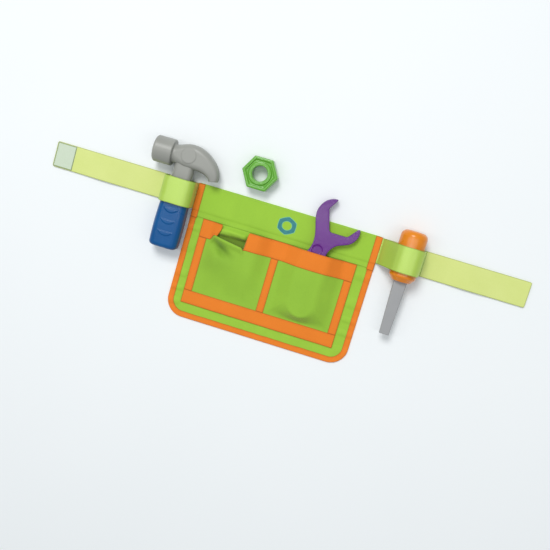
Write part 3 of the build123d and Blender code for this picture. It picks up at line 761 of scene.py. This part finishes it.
def rounded_run(corners, radii, step=0.6):
    """Evenly spaced points along a line of runs with rounded corners."""
    points = [Vector(corners[0])]
    for before, corner, after, radius in zip(corners, corners[1:], corners[2:], radii):
        before, corner, after = Vector(before), Vector(corner), Vector(after)
        into, out = (corner - before).normalized(), (after - corner).normalized()
        half = into.angle(out) / 2
        reach = radius * math.tan(half)
        for number in range(13):
            share = number / 12
            first, second = corner - into * reach, corner + out * reach
            points.append(first.lerp(corner, share).lerp(corner.lerp(second, share), share))
    points.append(Vector(corners[-1]))
    lengths = [0.0]
    for a, b in zip(points, points[1:]):
        lengths.append(lengths[-1] + (b - a).length)
    run, index = [], 0
    count = int(lengths[-1] / step)
    for number in range(count + 1):
        s = lengths[-1] * number / count
        while index < len(points) - 2 and lengths[index + 1] < s:
            index += 1
        span = lengths[index + 1] - lengths[index]
        run.append(points[index].lerp(points[index + 1], (s - lengths[index]) / span if span else 0))
    return run, lengths[-1]


loops = (
    (
        "left_tool_loop",
        ((-192.4, 3.45), (-187.6, 3.45), (-187.3, 37.9), (-140.7, 37.9), (-140.4, 3.45), (-131.0, 3.45)),
        (1.6, 11.5, 11.5, 1.6),
    ),
    (
        "right_tool_loop",
        ((131.0, 3.45), (142.2, 3.45), (165.2, 43.1), (202.3, 43.1), (202.5, 3.45), (207.3, 3.45)),
        (4.0, 14.5, 15.0, 1.6),
    ),
)
for node, corners, radii in loops:
    run, length = rounded_run(corners, radii)
    crest = corners[2][0], corners[3][0]

    def lay_loop(u, v):
        spot = u * (len(run) - 1)
        index = min(int(spot), len(run) - 2)
        point = run[index].lerp(run[index + 1], spot - index)
        selvedge = 0.14 * (1 - ease(min(v, 1 - v) / 0.045))
        over = min(1.0, max(0.0, (point.x - crest[0]) / (crest[1] - crest[0])))
        dome = 3.2 * math.sin(math.pi * over) * ease((point.y - 20) / 16)
        y = (2 * v - 1) * WEB_HALF + 0.15 * ripple(length * u, v, 12.0, 6.0)
        return point.x, y, point.y + dome - selvedge * 0.5

    loop = cut_cloth(node + "_webbing", length, 38.0, len(run) - 1, 32, lay_loop, 1.1, loop_green)
    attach(loop, "apron")
    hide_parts(node)

outer_seams = []
for x in (-189.9, 204.9):
    outer_seams.append((34.0, lambda distance, x=x: (x, -17.0 + distance, 3.42)))
sew("loop_foot_stitches", outer_seams, green_thread)

# Fastener patches
# A pale hook patch sewn to the front of the left end and a green pile patch behind the right end.
# The hooks are short nylon crooks in close rows on a thin woven ground.
hook_ground = woven_finish(
    "hook_ground", (216, 228, 208), (198, 215, 188), across=0.7, along=0.7, relief=0.15, roughness=0.5
)


def lay_hook_ground(u, v):
    x, y = -361.0 + 29.0 * u, -18.0 + 36.0 * v
    return x, y, 2.95 - 0.3 * (1 - ease(min(u * 29, (1 - u) * 29, v * 36, (1 - v) * 36) / 0.8))


hook_patch = cut_cloth("hook_patch_ground", 29.0, 36.0, 36, 44, lay_hook_ground, 0.6, hook_ground)
hook_line = bpy.data.curves.new("hook_patch_hooks", "CURVE")
hook_line.dimensions = "3D"
hook_line.bevel_depth = 0.1 * MM
hook_line.bevel_resolution = 0
for row in range(24):
    for place in range(19):
        x, y = -359.3 + place * 1.42 + 0.35 * (row % 2), -16.4 + row * 1.42
        spline = hook_line.splines.new("POLY")
        spline.points.add(3)
        for point, (reach, z) in zip(spline.points, ((0, 2.85), (0.02, 3.25), (0.32, 3.4), (0.58, 3.18))):
            point.co = ((x + reach) * MM, y * MM, z * MM, 1)
hooks = bpy.data.objects.new("hook_patch_hooks", hook_line)
bpy.context.scene.collection.objects.link(hooks)
bpy.ops.object.select_all(action="DESELECT")
hooks.select_set(True)
bpy.context.view_layer.objects.active = hooks
bpy.ops.object.convert(target="MESH")
hooks = bpy.context.object
hooks.data.materials.append(
    two_tones("hook_nylon", 0.35, 0.5, "ShaderNodeTexNoise", 500.0, (204, 218, 196), (226, 236, 220))
)
pile_green = woven_finish(
    "pile_green", (150, 192, 74), (122, 166, 52), across=0.9, along=0.9, relief=0.4, roughness=0.95, sheen=0.6
)


def lay_pile(u, v):
    x, y = 332.0 + 29.0 * u, -18.0 + 36.0 * v
    return x, y, 0.08 + 0.12 * ripple(x, y, 1.3, 2.0)


pile_patch = cut_cloth(
    "pile_patch_cloth", 29.0, 36.0, 44, 54, lambda u, v: lay_pile(u, 1 - v), 0.75, pile_green
)
for patch, node, body, slot in (
    (hook_patch, "hook_patch", "left_strap_outer", "hook_tape"),
    (pile_patch, "loop_patch", "right_strap_outer", "pile_tape"),
):
    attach(patch, body)
    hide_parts(node)
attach(hooks, "left_strap_outer")


def round_patch(x0):
    def place(distance):
        corners = ((0, 0), (27, 0), (27, 34), (0, 34), (0, 0))
        for (ax, ay), (bx, by) in zip(corners, corners[1:]):
            side = abs(bx - ax) + abs(by - ay)
            if distance <= side:
                share = distance / side
                return x0 + ax + (bx - ax) * share, -17 + ay + (by - ay) * share, 2.9
            distance -= side
        return x0, -17, 2.9

    return place


patch_seam = [(122.0, round_patch(-360.0))]
sew("hook_patch_stitches", patch_seam, green_thread, body="left_strap_outer", pitch=2.6, stitch=1.9)

# Hammer
# A light grey moulded toy hammer. The head is one hollow shell with a turned striking end, a shaft is
# pressed up into it, and a glossy blue grip with three thumb pads is pushed over the shaft's end.


def moulding_group():
    """The skin of a moulded toy: slow changes of tone, patchy gloss and a very fine satin grain."""
    group, entry, leave = surface_group("moulded_skin", (
        ("Place", "Vector", None),
        ("Colour", "Color", (0.5, 0.5, 0.5, 1)),
        ("Pale", "Color", (0.6, 0.6, 0.6, 1)),
        ("Roughness", "Float", 0.4),
        ("Grain", "Float", 900.0),
        ("Relief", "Float", 0.00005),
    ))
    clouds = []
    for scale, detail in ((38.0, 4.0), (None, 2.0)):
        cloud = group.nodes.new("ShaderNodeTexNoise")
        cloud.inputs["Detail"].default_value = detail
        group.links.new(entry.outputs["Place"], cloud.inputs["Vector"])
        if scale:
            cloud.inputs["Scale"].default_value = scale
        else:
            group.links.new(entry.outputs["Grain"], cloud.inputs["Scale"])
        clouds.append(cloud)
    tone = group.nodes.new("ShaderNodeMix")
    tone.data_type = "RGBA"
    group.links.new(clouds[0].outputs["Fac"], tone.inputs["Factor"])
    group.links.new(entry.outputs["Colour"], tone.inputs["A"])
    group.links.new(entry.outputs["Pale"], tone.inputs["B"])
    group.links.new(tone.outputs["Result"], leave.inputs["Colour"])
    spread = group.nodes.new("ShaderNodeMath")
    spread.operation = "MULTIPLY_ADD"
    spread.inputs[1].default_value = 0.14
    group.links.new(clouds[0].outputs["Fac"], spread.inputs[0])
    group.links.new(entry.outputs["Roughness"], spread.inputs[2])
    group.links.new(spread.outputs[0], leave.inputs["Roughness"])
    bump = group.nodes.new("ShaderNodeBump")
    bump.inputs["Strength"].default_value = 0.4
    group.links.new(entry.outputs["Relief"], bump.inputs["Distance"])
    group.links.new(clouds[1].outputs["Fac"], bump.inputs["Height"])
    group.links.new(bump.outputs["Normal"], leave.inputs["Normal"])
    return group


moulded_skin = moulding_group()


def moulded_finish(name, colour, pale, roughness, relief=0.05, coat=0.0, specular=0.5):
    finish, nodes, links, shader = new_finish(name, roughness, specular)
    shader.inputs["Coat Weight"].default_value = coat
    shader.inputs["Coat Roughness"].default_value = 0.12
    place_node = nodes.new("ShaderNodeTexCoord")
    skin = nodes.new("ShaderNodeGroup")
    skin.node_tree = moulded_skin
    skin.inputs["Colour"].default_value = straight(*colour)
    skin.inputs["Pale"].default_value = straight(*pale)
    skin.inputs["Roughness"].default_value = roughness - 0.07
    skin.inputs["Relief"].default_value = relief * MM
    links.new(place_node.outputs["Object"], skin.inputs["Place"])
    links.new(skin.outputs["Colour"], shader.inputs["Base Color"])
    links.new(skin.outputs["Roughness"], shader.inputs["Roughness"])
    links.new(skin.outputs["Normal"], shader.inputs["Normal"])
    return finish


def soften(node, name, body, finish, grain, passes):
    """A moulded piece: a copy of its CAD shape, recast, with its edges rounded as a mould leaves them."""
    bpy.ops.object.select_all(action="DESELECT")
    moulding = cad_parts[node].copy()
    moulding.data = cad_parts[node].data.copy()
    for key in list(moulding.keys()):
        if key.startswith("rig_"):
            del moulding[key]
    moulding.parent = None
    moulding.name = name
    moulding.data.name = name
    bpy.context.scene.collection.objects.link(moulding)
    moulding.select_set(True)
    bpy.context.view_layer.objects.active = moulding
    bpy.ops.object.mode_set(mode="EDIT")
    bpy.ops.mesh.select_all(action="SELECT")
    bpy.ops.mesh.remove_doubles(threshold=0.00001)
    bpy.ops.object.mode_set(mode="OBJECT")
    recast = moulding.modifiers.new("recast", "REMESH")
    recast.mode = "VOXEL"
    recast.voxel_size = grain * MM
    rounded = moulding.modifiers.new("rounded", "SMOOTH")
    rounded.factor = 0.5
    rounded.iterations = passes
    for modifier in ("recast", "rounded"):
        bpy.ops.object.modifier_apply(modifier=modifier)
    bpy.ops.object.shade_smooth()
    moulding.data.materials.clear()
    moulding.data.materials.append(finish)
    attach(moulding, body)
    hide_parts(node)
    return moulding


hammer_grey = moulded_finish("hammer_grey", (146, 147, 141), (156, 157, 150), 0.38, relief=0.04)
grip_blue = moulded_finish("grip_blue", (1, 72, 130), (3, 90, 152), 0.3, coat=0.05, specular=0.32)
soften("hammer_head", "hammer_head_moulding", "hammer", hammer_grey, 0.62, 5)
soften("hammer_grip", "hammer_grip_moulding", "hammer", grip_blue, 0.46, 2)
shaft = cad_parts["hammer_shaft"]
shaft.material_slots[0].material = hammer_grey

# Screwdriver
# A glossy orange handle with a domed top, moulded round the root of a plain flat grey blade.
driver_orange = moulded_finish("driver_orange", (222, 124, 8), (234, 140, 18), 0.28, coat=0.25, specular=0.4)
blade_grey = moulded_finish("blade_grey", (152, 153, 154), (162, 163, 164), 0.42)
soften(
    "screwdriver_handle", "screwdriver_handle_moulding",
    "screwdriver", driver_orange, 0.6, 6,
)
soften("screwdriver_blade", "screwdriver_blade_moulding", "screwdriver", blade_grey, 0.5, 3)

# Wrench
# One glossy purple moulding with well rounded edges, a long and a short jaw, and a round dimple at its
# neck.
wrench_purple = moulded_finish("wrench_purple", (90, 20, 120), (104, 32, 136), 0.3, coat=0.12, specular=0.4)
wrench_moulding = soften("wrench", "wrench_moulding", "wrench", wrench_purple, 0.6, 16)
# Its two flat faces are pressed true again, without the fine pits that recasting leaves in them. The
# pressing eases off where a face begins to roll over its edge.
WRENCH_FACES = ((15.46, 1), (3.54, -1))
PIT_DEPTH, LEVEL, ROLL_STARTS, ROLL_STRETCH = 0.8, 0.55, 0.42, 1.9
lean = [vertex.normal.z for vertex in wrench_moulding.data.vertices]
for vertex, upward in zip(wrench_moulding.data.vertices, lean):
    for face_z, way in WRENCH_FACES:
        sunk = (face_z - vertex.co.z / MM) * way
        if 0 < sunk < PIT_DEPTH and upward * way > LEVEL:
            vertex.co.z = (face_z - way * max(0.0, sunk - ROLL_STARTS) * ROLL_STRETCH) * MM

# Bolt nut
# A chunky green toy nut lying loose above the belt: a hexagon with a raised rim, a sunk floor and a
# raised collar round its plain hole.
nut_green = moulded_finish("nut_green", (86, 160, 38), (108, 178, 54), 0.3, coat=0.3)
soften("hex_nut", "hex_nut_moulding", "nut", nut_green, 0.6, 5)
